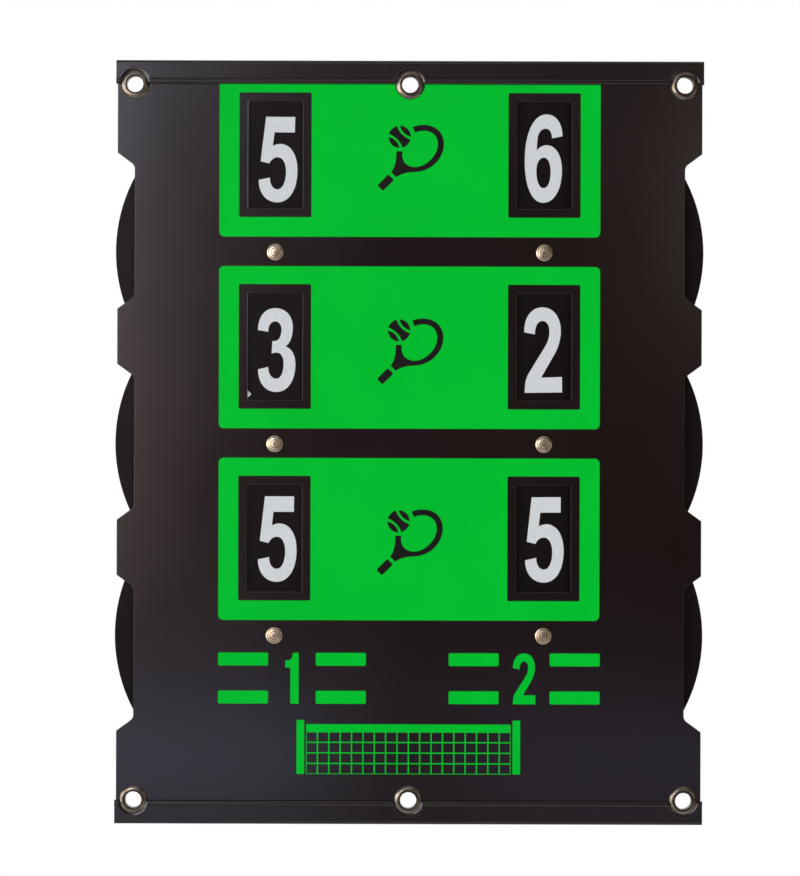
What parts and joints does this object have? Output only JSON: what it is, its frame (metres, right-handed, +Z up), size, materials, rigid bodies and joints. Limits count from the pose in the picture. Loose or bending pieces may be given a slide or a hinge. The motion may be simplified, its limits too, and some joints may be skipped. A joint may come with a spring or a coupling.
{
  "type": "score board",
  "caption": "Flat hanging score board of two notched plastic sheets, with windows over turning number discs, finger notches at the sides and eyelets in folded hems.",
  "frame": {"origin": "midway between the four corner eyelets, on the back face of the back sheet", "axes": "+X to the right as the board is read, +Y from the front to the back, +Z up"},
  "size_m": [0.4314, 0.012, 0.56],
  "materials": {
    "black_sheet": "satin black plastic sheet with a fine upright grain",
    "black_disc": "satin black plastic sheet",
    "green_film": "bright green film with a soft gloss",
    "nickel": "nickel plate, warm and slightly dulled",
    "turned_steel": "turned metal with fine rings",
    "nylon": "natural nylon",
    "black_spacer": "moulded black plastic"
  },
  "bodies": {
    "board": {"front_panel": "black_sheet", "back_panel": "black_sheet", "score_field_top": "green_film", "score_field_middle": "green_film", "score_field_bottom": "green_film", "front_washer_left_top": "nylon", "back_washer_left_top": "nylon", "pivot_post_left_top": "turned_steel", "pivot_screw_left_top": "turned_steel", "front_washer_right_top": "nylon", "back_washer_right_top": "nylon", "pivot_post_right_top": "turned_steel", "pivot_screw_right_top": "turned_steel", "front_washer_left_middle": "nylon", "back_washer_left_middle": "nylon", "pivot_post_left_middle": "turned_steel", "pivot_screw_left_middle": "turned_steel", "front_washer_right_middle": "nylon", "back_washer_right_middle": "nylon", "pivot_post_right_middle": "turned_steel", "pivot_screw_right_middle": "turned_steel", "front_washer_left_bottom": "nylon", "back_washer_left_bottom": "nylon", "pivot_post_left_bottom": "turned_steel", "pivot_screw_left_bottom": "turned_steel", "front_washer_right_bottom": "nylon", "back_washer_right_bottom": "nylon", "pivot_post_right_bottom": "turned_steel", "pivot_screw_right_bottom": "turned_steel", "eyelet_top_left": "nickel", "eyelet_spacer_top_left": "black_spacer", "eyelet_washer_top_left": "nickel", "eyelet_top_middle": "nickel", "eyelet_spacer_top_middle": "black_spacer", "eyelet_washer_top_middle": "nickel", "eyelet_top_right": "nickel", "eyelet_spacer_top_right": "black_spacer", "eyelet_washer_top_right": "nickel", "eyelet_bottom_left": "nickel", "eyelet_spacer_bottom_left": "black_spacer", "eyelet_washer_bottom_left": "nickel", "eyelet_bottom_middle": "nickel", "eyelet_spacer_bottom_middle": "black_spacer", "eyelet_washer_bottom_middle": "nickel", "eyelet_bottom_right": "nickel", "eyelet_spacer_bottom_right": "black_spacer", "eyelet_washer_bottom_right": "nickel"},
    "left_top_disc": {"score_disc_left_top": "black_disc"},
    "right_top_disc": {"score_disc_right_top": "black_disc"},
    "left_middle_disc": {"score_disc_left_middle": "black_disc"},
    "right_middle_disc": {"score_disc_right_middle": "black_disc"},
    "left_bottom_disc": {"score_disc_left_bottom": "black_disc"},
    "right_bottom_disc": {"score_disc_right_bottom": "black_disc"}
  },
  "joints": [
    {"name": "left_top_turn", "type": "hinge", "parent": "board", "child": "left_top_disc", "pos_m": [-0.0987, -0.00433, 0.1394], "axis": [0, -1, -0.0092], "continuous": true},
    {"name": "right_top_turn", "type": "hinge", "parent": "board", "child": "right_top_disc", "pos_m": [0.0987, -0.00303, 0.1394], "axis": [0, -1, -0.0092], "continuous": true},
    {"name": "left_middle_turn", "type": "hinge", "parent": "board", "child": "left_middle_disc", "pos_m": [-0.0987, -0.00433, -0.0012], "axis": [0, -1, -0.0092], "continuous": true},
    {"name": "right_middle_turn", "type": "hinge", "parent": "board", "child": "right_middle_disc", "pos_m": [0.0987, -0.00303, -0.0012], "axis": [0, -1, -0.0092], "continuous": true},
    {"name": "left_bottom_turn", "type": "hinge", "parent": "board", "child": "left_bottom_disc", "pos_m": [-0.0987, -0.00433, -0.1418], "axis": [0, -1, -0.0092], "continuous": true},
    {"name": "right_bottom_turn", "type": "hinge", "parent": "board", "child": "right_bottom_disc", "pos_m": [0.0987, -0.00303, -0.1418], "axis": [0, -1, -0.0092], "continuous": true}
  ]
}
